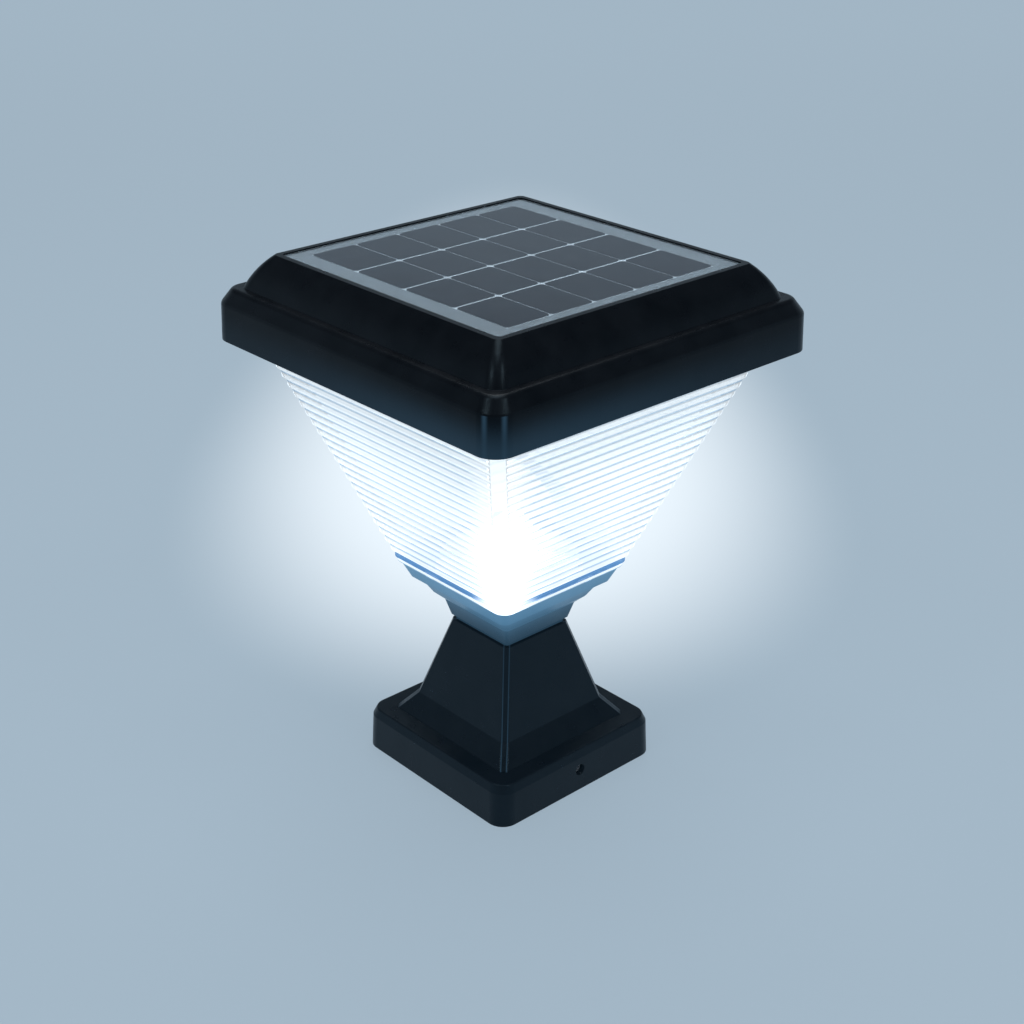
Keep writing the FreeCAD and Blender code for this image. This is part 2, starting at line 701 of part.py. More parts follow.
def neck():
    body = new_body("neck")

    def at(rise):
        return f"{NECK_FOOT} + {rise}"

    spigot = square(body, "neck_spigot", "neck_spigot_half", "neck_round / 2", NECK_FOOT)
    pad(body, spigot, "neck_spigot_tall")
    loft(body, "neck_outside", [
        ("neck_collar_half", "neck_round / 2", at("neck_spigot_tall")),
        ("neck_waist_half", "neck_round / 2", at("neck_waist_rise")),
        ("neck_step_half", "neck_round", at("neck_step_rise")),
        ("neck_band_half", "neck_round", at("neck_band_rise")),
        ("neck_shelf_half", "neck_round", at("neck_shelf_rise")),
        ("neck_head_half", "neck_round * 1.25", at("neck_tall")),
    ])
    loft(body, "neck_cup", [
        ("neck_step_half - neck_wall", "neck_round / 2", at("neck_step_rise")),
        ("neck_band_half - neck_wall", "neck_round / 2", at("neck_band_rise")),
        ("neck_shelf_half - neck_wall", "neck_round / 2", at("neck_shelf_rise")),
        ("neck_head_half - neck_wall", "neck_round / 2", at("neck_tall")),
    ], cut=True)
    under = square(body, "neck_under", "neck_spigot_half - neck_wall", "neck_round / 4", NECK_FOOT)
    pocket(body, under, "neck_step_rise - neck_web", upward=True)
    low_posts = discs(body, "neck_low_posts", corners("neck_screw_at"), "big_post_rad", level=NECK_FOOT)
    pad(body, low_posts, "neck_step_rise - neck_web / 2")
    high_posts = discs(body, "neck_high_posts", corners("shade_screw_at"), "big_post_rad",
                       level=at("neck_step_rise - neck_web / 4"))
    pad(body, high_posts, "neck_tall - neck_step_rise + neck_web / 4")
    low_pilots = discs(body, "neck_low_pilots", corners("neck_screw_at"), BIG_PILOT, level=NECK_FOOT)
    pocket(body, low_pilots, "big_screw_long - pedestal_plate + pilot_spare", upward=True)
    high_pilots = discs(body, "neck_high_pilots", corners("shade_screw_at"), BIG_PILOT, level=at("neck_tall"))
    pocket(body, high_pilots, "big_screw_long - shade_floor + pilot_spare")


# ---------------------------------------------------------------------------------------------
# Shade: a clear inverted pyramid with horizontal ribs moulded on each face
# ---------------------------------------------------------------------------------------------
def shade():
    shell = new_body("shade_shell")
    pieces.remove(shell)
    frustum(shell, "shade_outside", "shade_foot_half", SHADE_FOOT, "shade_head_half", FLANGE)
    soften(shell, "shade_corners", "shade_round", is_slanted)
    flange = square(shell, "shade_flange", "flange_half", "flange_round", FLANGE)
    pad(shell, flange, "flange_thick")
    for k in range(2):
        rise = f"shade_lip_tall * {2 * k}"
        half = f"shade_foot_half + shade_lip + {SHADE_LEAN} * {rise}"
        lip = square(shell, f"shade_lip_{k}", half, "shade_round", f"{SHADE_FOOT} + {rise}")
        pad(shell, lip, "shade_lip_tall")
    frustum(shell, "shade_inside", f"shade_foot_half + shade_floor * {SHADE_LEAN} - shade_wall",
            f"{SHADE_FOOT} + shade_floor", f"shade_head_half + flange_thick * {SHADE_LEAN} - shade_wall", SEAL,
            cut=True)
    inner = size("shade_head_half") - size("shade_wall") / 3
    soften(shell, "shade_inner_corners", "shade_round - shade_wall / 2",
           lambda edge: is_slanted(edge) and edge.BoundBox.ZLength > size("shade_tall") * 0.9
           and reach(edge) < inner and isinstance(edge.Curve, Part.Line)
           and abs(abs(edge.CenterOfMass.x) - abs(edge.CenterOfMass.y)) < 1e-6)
    top = f"{SHADE_FOOT} + shade_floor"
    stud_tall = "reflector_tall - screw_head_tall - reflector_well_spare - reflector_wall - reflector_seat_gap"
    stud = discs(shell, "reflector_stud", [("0", "0")], "screw_rad + stud_wall", level=top)
    pad(shell, stud, stud_tall)
    stud_pilot = discs(shell, "stud_pilot", [("0", "0")], SCREW_PILOT, level=f"{top} + {stud_tall}")
    pocket(shell, stud_pilot, "reflector_screw_long + pilot_spare")
    floor_holes = discs(shell, "shade_floor_holes", corners("shade_screw_at"), "big_screw_rad + hole_gap",
                        level=top)
    pocket(shell, floor_holes, "shade_floor")
    flange_holes = discs(shell, "flange_holes", head_screw_places(), "screw_rad + hole_gap", level=SEAL)
    pocket(shell, flange_holes, "flange_thick")
    button_hole = discs(shell, "flange_button_hole", [("0", "switch_at")], "button_rad + button_gap",
                        level=SEAL)
    pocket(shell, button_hole, "flange_thick")

    ribs = new_body("shade_ribs")
    pieces.remove(ribs)
    start = f"{SHADE_FOOT} + rib_start"

    def face(rise, proud):
        return f"shade_foot_half + (rib_start + ({rise})) * {SHADE_LEAN} + ({proud})"

    # one rib is a low arch in four flats; each pair is a share of its pitch and of its height
    arch = [(0, 0), (0.2, 0.8), (0.43, 1), (0.66, 0.75), (0.86, 0)]
    points = [(face(f"rib_pitch * {rise}", f"rib_proud * {proud}"), f"{start} + rib_pitch * {rise}")
              for rise, proud in arch]
    roots = [(face(f"rib_pitch * {rise}", "-shade_wall / 3"), f"{start} + rib_pitch * {rise}")
             for rise in (arch[-1][0], arch[0][0])]
    rib = outline(ribs, "rib", points + roots, "XZ_Plane")
    first = pad(ribs, rib, "2 * shade_head_half", both_ways=True)
    doc.recompute()
    upward = step_line(ribs, "rib_rise", "Z_Axis", "(rib_count - 1) * rib_pitch", "rib_count")
    outward = f"(rib_count - 1) * rib_pitch * {SHADE_LEAN}"
    lean = outline(ribs, "rib_lean", [("0", "0"), (outward, "(rib_count - 1) * rib_pitch"), (outward, "0")],
                   "XZ_Plane")
    doc.recompute()
    upward.Direction = (lean, ["Edge1"])
    bind(upward, "Length", f"(rib_count - 1) * rib_pitch * sqrt(1 + ({SHADE_LEAN}) ^ 2)")
    copies(ribs, first, upward)
    doc.recompute()

    # trim the ends beside the corners, then turn the four faces' ribs round the axis
    for side, sign in (("far", ""), ("near", "-")):
        low = "shade_foot_half - rib_end_gap"
        high = "shade_head_half - rib_end_gap"
        wide = "2 * shade_head_half"
        trim = outline(ribs, f"rib_trim_{side}", [
            (f"{sign}({low})", SHADE_FOOT),
            (f"{sign}({wide})", SHADE_FOOT),
            (f"{sign}({wide})", FLANGE),
            (f"{sign}({high})", FLANGE),
        ], "YZ_Plane")
        pocket(ribs, trim, "4 * shade_head_half", both_ways=True)
    turning = ribs.newObject("PartDesign::PolarPattern", "rib_faces")
    turning.TransformMode = "Whole shape"
    turning.Axis = (origin_of(ribs, "Z_Axis"), [""])
    turning.Angle = 360
    turning.Occurrences = 4
    ribs.Tip = turning

    whole = doc.addObject("Part::MultiFuse", "shade")
    whole.Shapes = [shell, ribs]
    whole.Label = "shade"
    pieces.append(whole)


def reflector():
    body = new_body("reflector_cone")
    foot = f"{SHADE_FOOT} + shade_floor"
    top = f"{foot} + reflector_tall"
    dish = f"{top} - screw_head_tall - reflector_well_spare"
    under = f"{dish} - reflector_wall"
    hole = "screw_rad + hole_gap"
    turned_cone = outline(body, "reflector_profile", [
        ("reflector_rad", foot),
        ("reflector_rad", f"{foot} + reflector_wall"),
        ("reflector_rad * 0.62", f"{foot} + reflector_tall * 0.28"),
        ("reflector_rad * 0.36", f"{foot} + reflector_tall * 0.62"),
        ("reflector_tip_rad", top),
        ("screw_head_rad + hole_gap", top),
        ("screw_head_rad + hole_gap", dish),
        (hole, dish),
        (hole, under),
        ("stud_wall + screw_rad + hole_gap", under),
        ("reflector_rad * 0.36 - reflector_wall", f"{foot} + reflector_tall * 0.62 - reflector_wall"),
        ("reflector_rad * 0.62 - reflector_wall", f"{foot} + reflector_tall * 0.28 - reflector_wall"),
        ("reflector_rad - reflector_wall * 2", f"{foot}"),
    ], "XZ_Plane")
    feature = body.newObject("PartDesign::Revolution", "reflector_turn")
    feature.Profile = turned_cone
    feature.ReferenceAxis = (turned_cone, ["V_Axis"])
    feature.Angle = 360

    stud = new_body("reflector_screw")
    tip = f"{under} - reflector_screw_long"
    turned(stud, "reflector_screw_profile", [
        ("0", tip),
        ("0", f"{dish} + screw_head_tall"),
        ("screw_head_rad * 0.8", f"{dish} + screw_head_tall"),
        ("screw_head_rad", dish),
        ("screw_rad", dish),
        ("screw_rad", tip),
    ])


# ---------------------------------------------------------------------------------------------
# Lid: cover, solar panel, seal and tray
# ---------------------------------------------------------------------------------------------
def roof_sections():
    """Four squares up the roof's convex slope: the middle ones stand out and up from the straight slope."""
    out, up = 0.79, 0.61  # the direction square to the slope
    sections = []
    for share in (0, 1 / 3, 2 / 3, 1):
        swell = f"roof_bulge * {4 * share * (1 - share)}"
        half = f"roof_foot_half - roof_slope_wide * {share} + {swell} * {out}"
        level = f"{LEDGE} + roof_tall * {share} + {swell} * {up}"
        sections.append((half, f"roof_foot_round + (roof_rim_round - roof_foot_round) * {share}", level))
    return sections


def top_cover():
    body = new_body("top_cover")
    loft(body, "cover_skirt", [
        ("lid_half", "lid_round", LID_EDGE),
        ("lid_half - lid_draft", "lid_round", BEVEL),
        ("lid_half - lid_draft - bevel_wide", "lid_round - bevel_wide / 2", LEDGE),
    ])
    loft(body, "cover_roof", roof_sections(), ruled=False)
    recess = square(body, "panel_recess", "panel_half + panel_gap", "panel_round + panel_gap", ROOF_TOP)
    pocket(body, recess, "panel_stack")

    loft(body, "cover_inside", [
        ("lid_half - lid_wall", "flange_round", LID_EDGE),
        ("lid_half - lid_draft - lid_wall", "flange_round", f"{BEVEL} - lid_wall / 2"),
        ("lid_half - lid_draft - bevel_wide - lid_wall", "flange_round - bevel_wide / 4", f"{LEDGE} - lid_wall"),
    ], cut=True)
    loft(body, "roof_inside", [
        ("roof_foot_half - lid_wall", "roof_foot_round - lid_wall", f"{LEDGE} - lid_wall * 1.4"),
        ("roof_foot_half - lid_wall", "roof_foot_round - lid_wall", f"{LEDGE} - lid_wall"),
        ("roof_rim_half - lid_wall", "roof_rim_round / 2", f"{RECESS} - roof_plate"),
    ], cut=True)

    bosses = discs(body, "cover_bosses", head_screw_places(), "boss_rad", level=TRAY_TOP)
    pad(body, bosses, f"{LEDGE} - lid_wall / 2 - ({TRAY_TOP})")
    pilots = discs(body, "cover_pilots", head_screw_places(), SCREW_PILOT, level=TRAY_TOP)
    pocket(body, pilots, "head_screw_long - flange_thick - seal_thick - tray_thick + pilot_spare", upward=True)

    # stiffening ribs under the roof, in a cross
    web_foot = f"{RECESS} - roof_plate - web_deep"
    long, thick = "(roof_rim_half - lid_wall)", "web_thick / 2"
    for name, half_x, half_y in (("roof_web", long, thick), ("roof_web_cross", thick, long)):
        web = oblong(body, name, f"-{half_x}", half_x, f"-{half_y}", half_y, level=web_foot)
        pad(body, web, "web_deep + roof_plate / 4")
    lead_hole = discs(body, "panel_lead_hole", [("lead_hole_at", "lead_hole_at")], "lead_hole_rad",
                      level=RECESS)
    pocket(body, lead_hole, "roof_plate")

    creases = [size(BEVEL), size(LEDGE)]
    ledge = size("lid_half - lid_draft - bevel_wide") - size("ledge_wide") / 2
    soften(body, "cover_creases", "lid_soften",
           lambda edge: any(flat_at(edge, level) for level in creases) and reach(edge) > ledge)


def solar_panel():
    for name, level, thick in (
        ("panel_adhesive", RECESS, "adhesive_thick"),
        ("panel_backsheet", ADHESIVE_TOP, "backsheet_thick"),
        ("panel_face_sheet", CELL_TOP, "face_sheet_thick"),
    ):
        body = new_body(name)
        pad(body, square(body, f"{name}_outline", "panel_half", "panel_round", level), thick)
        if name != "panel_face_sheet":
            hole = discs(body, f"{name}_lead_hole", [("lead_hole_at", "lead_hole_at")], "lead_hole_rad",
                         level=f"{level} + {thick}")
            pocket(body, hole, thick)

    cells = new_body("solar_cells")
    first = square(cells, "solar_cell", "(column_pitch - column_gap) / 2", "cell_corner", BACKSHEET_TOP,
                   half_y="(row_pitch - row_gap) / 2", cut=True,
                   shift=("-(cell_columns - 1) * column_pitch / 2", "-(cell_rows - 1) * row_pitch / 2"))
    cell = pad(cells, first, "solar_cell_thick")
    doc.recompute()
    across = step_line(cells, "cell_columns_step", "X_Axis", "(cell_columns - 1) * column_pitch", "cell_columns")
    along = step_line(cells, "cell_rows_step", "Y_Axis", "(cell_rows - 1) * row_pitch", "cell_rows")
    copies(cells, cell, across, along)


def under_tray():
    body = new_body("under_tray")
    plate = square(body, "tray_plate", "flange_half", "flange_round", TRAY)
    pad(body, plate, "tray_thick")
    posts = discs(body, "led_posts", corners("led_screw_at"), "boss_rad", level=TRAY)
    pad(body, posts, "led_standoff", down=True)
    board_posts = discs(body, "board_posts", board_screw_places(), "boss_rad", level=TRAY_TOP)
    pad(body, board_posts, "board_standoff")
    holes = discs(body, "tray_screw_holes", head_screw_places(), "screw_rad + hole_gap", level=TRAY_TOP)
    pocket(body, holes, "tray_thick")
    button_hole = discs(body, "tray_button_hole", [("0", "switch_at")], "button_rad + button_gap",
                        level=TRAY_TOP)
    pocket(body, button_hole, "tray_thick")
    led_pilots = discs(body, "led_pilots", corners("led_screw_at"), SCREW_PILOT, level=LED_BOARD_TOP)
    pocket(body, led_pilots, "led_standoff + tray_thick - tray_skin", upward=True)
    board_pilots = discs(body, "board_pilots", board_screw_places(), SCREW_PILOT,
                         level=f"{TRAY_TOP} + board_standoff")
    pocket(body, board_pilots, "board_standoff + tray_thick - tray_skin")
    lead_hole = discs(body, "led_lead_hole", [("0", "0")], "lead_hole_rad * 1.5", level=TRAY_TOP)
    pocket(body, lead_hole, "tray_thick")


def board_screw_places():
    x, y = "board_long / 2 - board_screw_inset", "board_wide / 2 - board_screw_inset"
    return [(f"{a}({x})", f"board_at {b} ({y})") for a in ("", "-") for b in ("+", "-")]


def lid_seal():
    body = new_body("lid_seal")
    outer = square(body, "seal_outside", "shade_head_half + seal_wide / 2", "shade_round", SEAL)
    pad(body, outer, "seal_thick")
    inner = square(body, "seal_inside", "shade_head_half - seal_wide / 2", "shade_round - seal_wide / 2",
                   f"{SEAL} + seal_thick")
    pocket(body, inner, "seal_thick")


# ---------------------------------------------------------------------------------------------
# Lamp under the tray
# ---------------------------------------------------------------------------------------------
def lamp():
    board = new_body("led_board")
    plate = square(board, "led_board_outline", "led_board_half", "led_board_round", LED_BOARD)
    pad(board, plate, "led_board_thick")
    holes = discs(board, "led_board_holes", corners("led_screw_at"), "screw_rad + hole_gap", level=LED_BOARD_TOP)
    pocket(board, holes, "led_board_thick")

    chips = new_body("led_chips")
    edge_row = "-(led_rows - 1) * led_pitch / 2"
    first = square(chips, "led_chip", "led_long / 2", "led_corner", f"{LED_BOARD} - led_tall",
                   half_y="led_wide / 2", cut=True, shift=(edge_row, edge_row))
    chip = pad(chips, first, "led_tall")
    doc.recompute()
    across = step_line(chips, "led_across", "X_Axis", "(led_rows - 1) * led_pitch", "led_rows")
    along = step_line(chips, "led_along", "Y_Axis", "(led_rows - 1) * led_pitch", "led_rows")
    copies(chips, chip, across, along)

    cover = new_body("led_diffuser")
    outside = square(cover, "diffuser_outside", "diffuser_half", "diffuser_round", f"{TRAY} - diffuser_deep")
    pad(cover, outside, "diffuser_deep")
    inside = square(cover, "diffuser_inside", "diffuser_half - diffuser_wall", "diffuser_round - diffuser_wall",
                    f"{TRAY} - diffuser_deep + diffuser_wall")
    pocket(cover, inside, "diffuser_deep", upward=True)
    bottom = size(TRAY) - size("diffuser_deep")
    soften(cover, "diffuser_edges", "diffuser_soften", lambda edge: flat_at(edge, bottom))


# ---------------------------------------------------------------------------------------------
# Battery, control board and switch on top of the tray
# ---------------------------------------------------------------------------------------------
def battery():
    level = f"{TRAY_TOP} + battery_level"
    end = "battery_long / 2"
    cell = new_body("battery_cell")
    can = discs(cell, "battery_can", [("battery_at", level)], "battery_rad", "YZ_Plane", f"-{end}")
    pad(cell, can, "battery_long")
    nub = discs(cell, "battery_nub", [("battery_at", level)], "battery_rad * 0.35", "YZ_Plane", end)
    pad(cell, nub, "battery_nub_tall")

    holder = new_body("battery_holder")
    room_y = "battery_rad + battery_gap"
    outside = oblong(holder, "holder_outside", "-(battery_room_half + holder_wall)",
                     "battery_room_half + holder_wall", f"battery_at - ({room_y} + holder_wall)",
                     f"battery_at + {room_y} + holder_wall", level=TRAY_TOP)
    pad(holder, outside, "holder_floor + holder_grip")
    inside = oblong(holder, "holder_inside", "-battery_room_half", "battery_room_half",
                    f"battery_at - ({room_y})", f"battery_at + {room_y}", level=f"{TRAY_TOP} + holder_floor")
    pocket(holder, inside, "holder_grip", upward=True)

    # a plate at each end; the left one carries a spring and the right one a button
    contacts = new_body("battery_contacts")
    foot = f"{TRAY_TOP} + holder_floor"
    for side, place in (("left", "-battery_room_half"), ("right", "battery_room_half - contact_thick")):
        plate = oblong(contacts, f"contact_{side}", "battery_at - battery_rad * 0.6",
                       "battery_at + battery_rad * 0.6", foot, f"{foot} + holder_grip", "YZ_Plane", place)
        pad(contacts, plate, "contact_thick")
    spring = discs(contacts, "contact_spring", [("battery_at", level)], "battery_rad * 0.4", "YZ_Plane",
                   "contact_thick - battery_room_half")
    pad(contacts, spring, "battery_end_room - contact_thick - contact_gap")
    button_gap = "contact_gap / 5"
    button = discs(contacts, "contact_button", [("battery_at", level)], "battery_rad * 0.3", "YZ_Plane",
                   f"{end} + battery_nub_tall + {button_gap}")
    pad(contacts, button, f"battery_end_room - battery_nub_tall - contact_thick - {button_gap}")


def control_board():
    level = f"{TRAY_TOP} + board_standoff"
    board = new_body("control_board")
    plate = oblong(board, "board_outline", "-board_long / 2", "board_long / 2", "board_at - board_wide / 2",
                   "board_at + board_wide / 2", level=level)
    pad(board, plate, "board_thick")
    holes = discs(board, "board_holes", board_screw_places(), "screw_rad + hole_gap",
                  level=f"{level} + board_thick")
    pocket(board, holes, "board_thick")

    chips = new_body("board_components")
    top = f"{level} + board_thick"
    for name, x, y, long, wide, tall in (
        ("controller", "-board_long * 0.13", "board_at", "controller_long", "controller_wide",
         "controller_tall"),
        ("charger", "board_long * 0.13", "board_at + board_wide * 0.15", "controller_long / 2",
         "controller_wide * 0.7", "controller_tall"),
        ("inductor", "board_long * 0.26", "board_at - board_wide * 0.15", "2 * inductor_half",
         "2 * inductor_half", "inductor_tall"),
        ("connector", "-board_long * 0.39", "board_at", "connector_long", "connector_wide",
         "connector_tall"),
    ):
        shape = oblong(chips, name, f"{x} - {long} / 2", f"{x} + {long} / 2", f"{y} - {wide} / 2",
                       f"{y} + {wide} / 2", level=top)
        pad(chips, shape, tall)
    capacitor = discs(chips, "capacitor", [("board_long * 0.06", "board_at - board_wide * 0.22")],
                      "capacitor_rad", level=top)
    pad(chips, capacitor, "capacitor_tall")

    screws = new_body("board_screws")
    shanks = discs(screws, "board_shanks", board_screw_places(), "screw_rad", level=top)
    pad(screws, shanks, "board_thick + board_standoff", down=True)
    heads = discs(screws, "board_heads", board_screw_places(), "screw_head_rad", level=top)
    pad(screws, heads, "screw_head_tall")


def power_switch():
    body = new_body("switch_body")
    case = oblong(body, "switch_case", "-switch_half", "switch_half", "switch_at - switch_half",
                  "switch_at + switch_half", level=TRAY_TOP)
    pad(body, case, "switch_tall")
    well = discs(body, "switch_well", [("0", "switch_at")], "plunger_rad + hole_gap", level=TRAY_TOP)
    pocket(body, well, "plunger_reach + button_travel + switch_spare", upward=True)

    bezel = new_body("switch_bezel")
    ring = discs(bezel, "bezel_ring", [("0", "switch_at")], "bezel_rad", level=FLANGE)
    pad(bezel, ring, "bezel_thick", down=True)
    bore = discs(bezel, "bezel_bore", [("0", "switch_at")], "button_rad + button_gap", level=FLANGE)
    pocket(bezel, bore, "bezel_thick")

    button = new_body("power_button")
    cap_top = f"{TRAY} - button_travel / 2"
    low = f"{FLANGE} - button_proud"
    cap = discs(button, "button_cap", [("0", "switch_at")], "button_rad", level=low)
    pad(button, cap, f"{cap_top} - ({low})")
    plunger = discs(button, "button_plunger", [("0", "switch_at")], "plunger_rad", level=cap_top)
    pad(button, plunger, "button_travel / 2 + tray_thick + plunger_reach")
    bottom = size(FLANGE) - size("button_proud")
    soften(button, "button_edge", "button_soften", lambda edge: flat_at(edge, bottom))


def fasteners():
    screw("pedestal_screws", on_diagonal("pedestal_screw_at"), f"{PEDESTAL_FOOT} - base_plate", "big_screw_long",
          upward=True, big=True)
    screw("neck_screws", on_diagonal("neck_screw_at"), f"{NECK_FOOT} - pedestal_plate", "big_screw_long",
          upward=True, big=True)
    screw("shade_screws", on_diagonal("shade_screw_at"), f"{SHADE_FOOT} + shade_floor", "big_screw_long",
          upward=False, big=True)
    screw("head_screws", "head_screw_at", FLANGE, "head_screw_long", upward=True, spread="head_screw_spread",
          pairs=True)
    screw("led_board_screws", on_diagonal("led_screw_at"), LED_BOARD,
          "led_board_thick + led_standoff + tray_thick / 2", upward=True)


base_cap()
set_screws()
pedestal()
neck()
shade()
reflector()
top_cover()
solar_panel()
under_tray()
lid_seal()
lamp()
battery()
control_board()
power_switch()
fasteners()

# ---------------------------------------------------------------------------------------------
# Check every object, then write one STEP file for each piece
# ---------------------------------------------------------------------------------------------
doc.recompute()
for thing in doc.Objects:
    if "Invalid" in thing.State or "Error" in thing.State:
        raise ValueError(f"{thing.Label} did not build: {thing.State}")
for piece in pieces:
    if piece.Shape.isNull() or not piece.Shape.isValid() or not piece.Shape.Solids:
        raise ValueError(f"{piece.Label} has no valid solid")

os.makedirs("parts", exist_ok=True)
for piece in pieces:
    piece.Shape.exportStep(f"parts/{piece.Label}.step")
    print(f"{piece.Label:20s} solids {len(piece.Shape.Solids):3d}  volume {piece.Shape.Volume:10.1f}")
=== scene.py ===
"""The looks of a solar deck post cap light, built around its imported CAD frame."""

import math

import bpy
from mathutils import Matrix, Vector


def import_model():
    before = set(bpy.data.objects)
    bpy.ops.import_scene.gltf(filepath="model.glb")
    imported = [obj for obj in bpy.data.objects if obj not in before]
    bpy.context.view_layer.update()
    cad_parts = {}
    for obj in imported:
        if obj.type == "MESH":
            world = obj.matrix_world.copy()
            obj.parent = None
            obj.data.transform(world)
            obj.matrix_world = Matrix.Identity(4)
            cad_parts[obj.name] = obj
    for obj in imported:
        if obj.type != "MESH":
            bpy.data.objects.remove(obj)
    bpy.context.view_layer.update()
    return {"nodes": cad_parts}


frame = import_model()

NODES = frame["nodes"]
MM = 0.001

# The photograph's camera, solved from the lid's and the base's edges
CAMERA_AZIMUTH = math.radians(47.58)
CAMERA_ELEVATION = math.radians(25.75)
CAMERA_ROLL = math.radians(0.25)
CAMERA_DISTANCE = 841.7 * MM
CAMERA_AIM = Vector((0, 0, 110 * MM))
CAMERA_SHIFT_RIGHT = 1.15 * MM
CAMERA_SHIFT_UP = 24.46 * MM
FOCAL_PIXELS = 1675.3
PICTURE_PIXELS = 1024
SENSOR = 36.0

BACKGROUND = (0.371, 0.474, 0.565)  # the pale blue-grey behind the object
PAPER_FAR_PAINTED_PALER = (0.408, 0.521, 0.62)  # the floor painted paler beyond the object, where the lamps light it less
CEILING = (0.05, 0.065, 0.08)
COOL_WHITE = (0.86, 0.94, 1.0)
SPILL_BLUE = (0.24, 0.6, 1.0)  # the shade's light, painted onto black plastic as a glow
# painted shade in the shade's glow: blue along the rib grooves and in a band at its foot
PAINTED_GROOVE_BLUE = (0.36, 0.52, 0.7)
PAINTED_FOOT_BLUE = (0.07, 0.18, 0.37)


def reach(name, axis):
    """The lowest and the highest coordinate of a CAD node along an axis: 0, 1 or 2 for X, Y or Z."""
    places = [vertex.co[axis] for vertex in NODES[name].data.vertices]
    return min(places), max(places)


# Heights in the CAD model, and the ribs' pitch
BASE_TOP = reach("base_cap", 2)[1]
NECK_COLLAR = reach("neck", 2)[0] + 0.1 * MM
SHADE_FOOT = reach("shade", 2)[0]
ABOVE_NECK = SHADE_FOOT + 2 * MM
SHADE_TOP = reach("shade", 2)[1] - 2.4 * MM  # under the shade's flange
LID_EDGE = reach("top_cover", 2)[0]
LID_BEVEL = LID_EDGE + 18.1 * MM
RIB_START = SHADE_FOOT + 5.2 * MM
RIB_PITCH = 4.8 * MM

# Where the painted glow of the shade's faces starts to fade, and where that of its corners is down to a tenth
FACE_FADE, CORNER_FADE = 160 * MM, 190 * MM

# The strength of the shade's light painted as a glow on the black plastic, and how much of it the back and
# the front corner get
NECK_SPILL_LOW, NECK_SPILL_HIGH = 0.08, 0.36
FOOT_SPILL = 0.006
LID_SPILL = 0.036
BACK_SHARE, FRONT_SHARE = 0.3, 1.3

# Painted highlights: how far they lie from the diagonal through the corners, how far they reach, and their
# strength
PEDESTAL_LINE, LINE_CORE, LINE_REACH, LINE_STRENGTH = 1.98 * MM, 0.1 * MM, 0.6 * MM, 0.11
FASCIA_BAND, BAND_REACH, BAND_STRENGTH = 5.7 * MM, 2.5 * MM, 0.05

# The painted glow in the shade's outer face: places within a rib's pitch, strengths, and its share of the
# surface
GROOVE_MIDDLE, GROOVE_CORE, GROOVE_REACH = 0.93, 0.04, 0.22
FACE_LOW, FACE_HIGH = 1.55, 0.95
CORNER_GLOW, CORNER_REACH = 1.2, 35 * MM
RIB_SHARE, FOOT_EXTRA_SHARE = 0.6, 0.25

# The floor's paper and its painted pool of light, in metres; the pool's depth runs on a log scale
POOL_HALF_WIDTH = 0.25
POOL_LINE = 0.3  # in front of the object, where the log scale starts
POOL_MIDDLE = 0.69  # beyond that line
POOL_LOG_DEPTH = 0.79
POOL_CORE = 0.35  # the share of the pool that is bright throughout
POOL_COLOUR = (0.99, 1.08, 1.15)
PAPER_GLOW = 0.8
# where the floor's painted paleness begins and where it is full
PAPER_FADE_START, PAPER_FADE_END = 0.8, 2.5

# How high a ray has to point for the backdrop to start and to stop darkening, where 1 is straight up
BACKDROP_PALE, BACKDROP_DARK = 0.28, 0.45

LIGHTS_AIM = Vector((0, 0, 130 * MM))


# ---------------------------------------------------------------------------------------------
# Node helpers
# ---------------------------------------------------------------------------------------------
def new_material(name):
    """A material with one Principled shader; returns (material, shader, its node tree)."""
    made = bpy.data.materials.new(name)
    made.use_nodes = True
    tree = made.node_tree
    return made, tree.nodes["Principled BSDF"], tree


def add(tree, kind, **settings):
    """A new node with its settings."""
    node = tree.nodes.new(kind)
    for key, value in settings.items():
        setattr(node, key, value)
    return node


def math_node(tree, operation, first, second=None):
    """One math operation; each value is a number or another node's output."""
    node = add(tree, "ShaderNodeMath", operation=operation)
    for socket, value in enumerate((first, second)):
        if isinstance(value, (int, float)):
            node.inputs[socket].default_value = value
        elif value is not None:
            tree.links.new(value, node.inputs[socket])
    return node.outputs["Value"]


def times(tree, product, *factors):
    """All the values multiplied."""
    for factor in factors:
        product = math_node(tree, "MULTIPLY", product, factor)
    return product


def plus(tree, total, *parts):
    """All the values added."""
    for part in parts:
        total = math_node(tree, "ADD", total, part)
    return total


def minus(tree, first, second):
    """The first value less the second."""
    return math_node(tree, "SUBTRACT", first, second)


def off(tree, value, middle):
    """How far the value lies from the middle, on either side."""
    return math_node(tree, "ABSOLUTE", minus(tree, value, middle))


def off_corner(tree, x, y):
    """How far a point lies from the diagonal through the nearest corner, measured along X or Y."""
    return off(tree, math_node(tree, "ABSOLUTE", x), math_node(tree, "ABSOLUTE", y))


def length(tree, first, second):
    """The length of a vector with these two coordinates."""
    return math_node(tree, "SQRT", plus(tree, times(tree, first, first), times(tree, second, second)))


def between(tree, value, low, high):
    """1 where the value lies between the two, otherwise 0."""
    return times(tree, math_node(tree, "GREATER_THAN", value, low), math_node(tree, "LESS_THAN", value, high))


def map_range(tree, value, from_low, from_high, low, high, kind="LINEAR"):
    """Maps one range onto another, and holds what lies beyond its ends."""
    node = add(tree, "ShaderNodeMapRange", interpolation_type=kind)
    ends = {"From Min": from_low, "From Max": from_high, "To Min": low, "To Max": high}
    for socket, number in ends.items():
        node.inputs[socket].default_value = number
    tree.links.new(value, node.inputs["Value"])
    return node.outputs["Result"]


def from_to(tree, value, start, end, low=0.0, high=1.0):
    """Low before start, high after end, and a soft ramp between."""
    return map_range(tree, value, start, end, low, high, "SMOOTHSTEP")


def place(tree):
    """Coordinates in metres, fixed to the object."""
    return add(tree, "ShaderNodeTexCoord").outputs["Object"]


